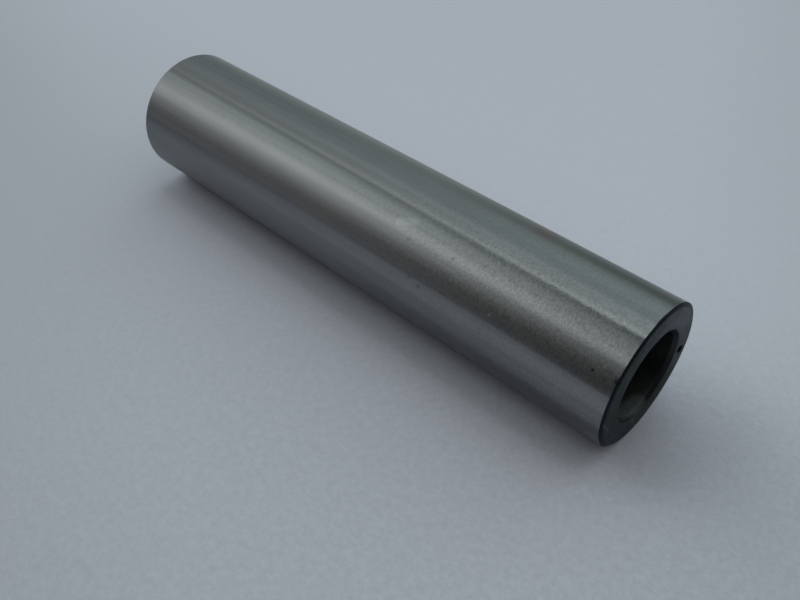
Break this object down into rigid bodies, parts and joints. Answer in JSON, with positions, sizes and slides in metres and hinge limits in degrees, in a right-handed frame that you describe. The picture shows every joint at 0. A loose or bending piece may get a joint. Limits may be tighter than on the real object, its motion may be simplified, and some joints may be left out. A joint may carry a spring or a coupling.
{
  "type": "piston pin",
  "caption": "Plain ground steel piston pin: a straight thick-walled tube with a through bore, flat ends and small chamfers on its outer rims and bore mouths.",
  "frame": {"origin": "centre of the lower end face, on the surface that the pin stands on", "axes": "+Z along the pin's axis, from the lower end to the upper end"},
  "size_m": [0.0125, 0.0124, 0.0555],
  "materials": {
    "ground_steel": "centreless-ground outside with fine circumferential grain, turned end faces, dark unpolished bore"
  },
  "bodies": {
    "root": {"piston_pin": "ground_steel"}
  },
  "joints": []
}
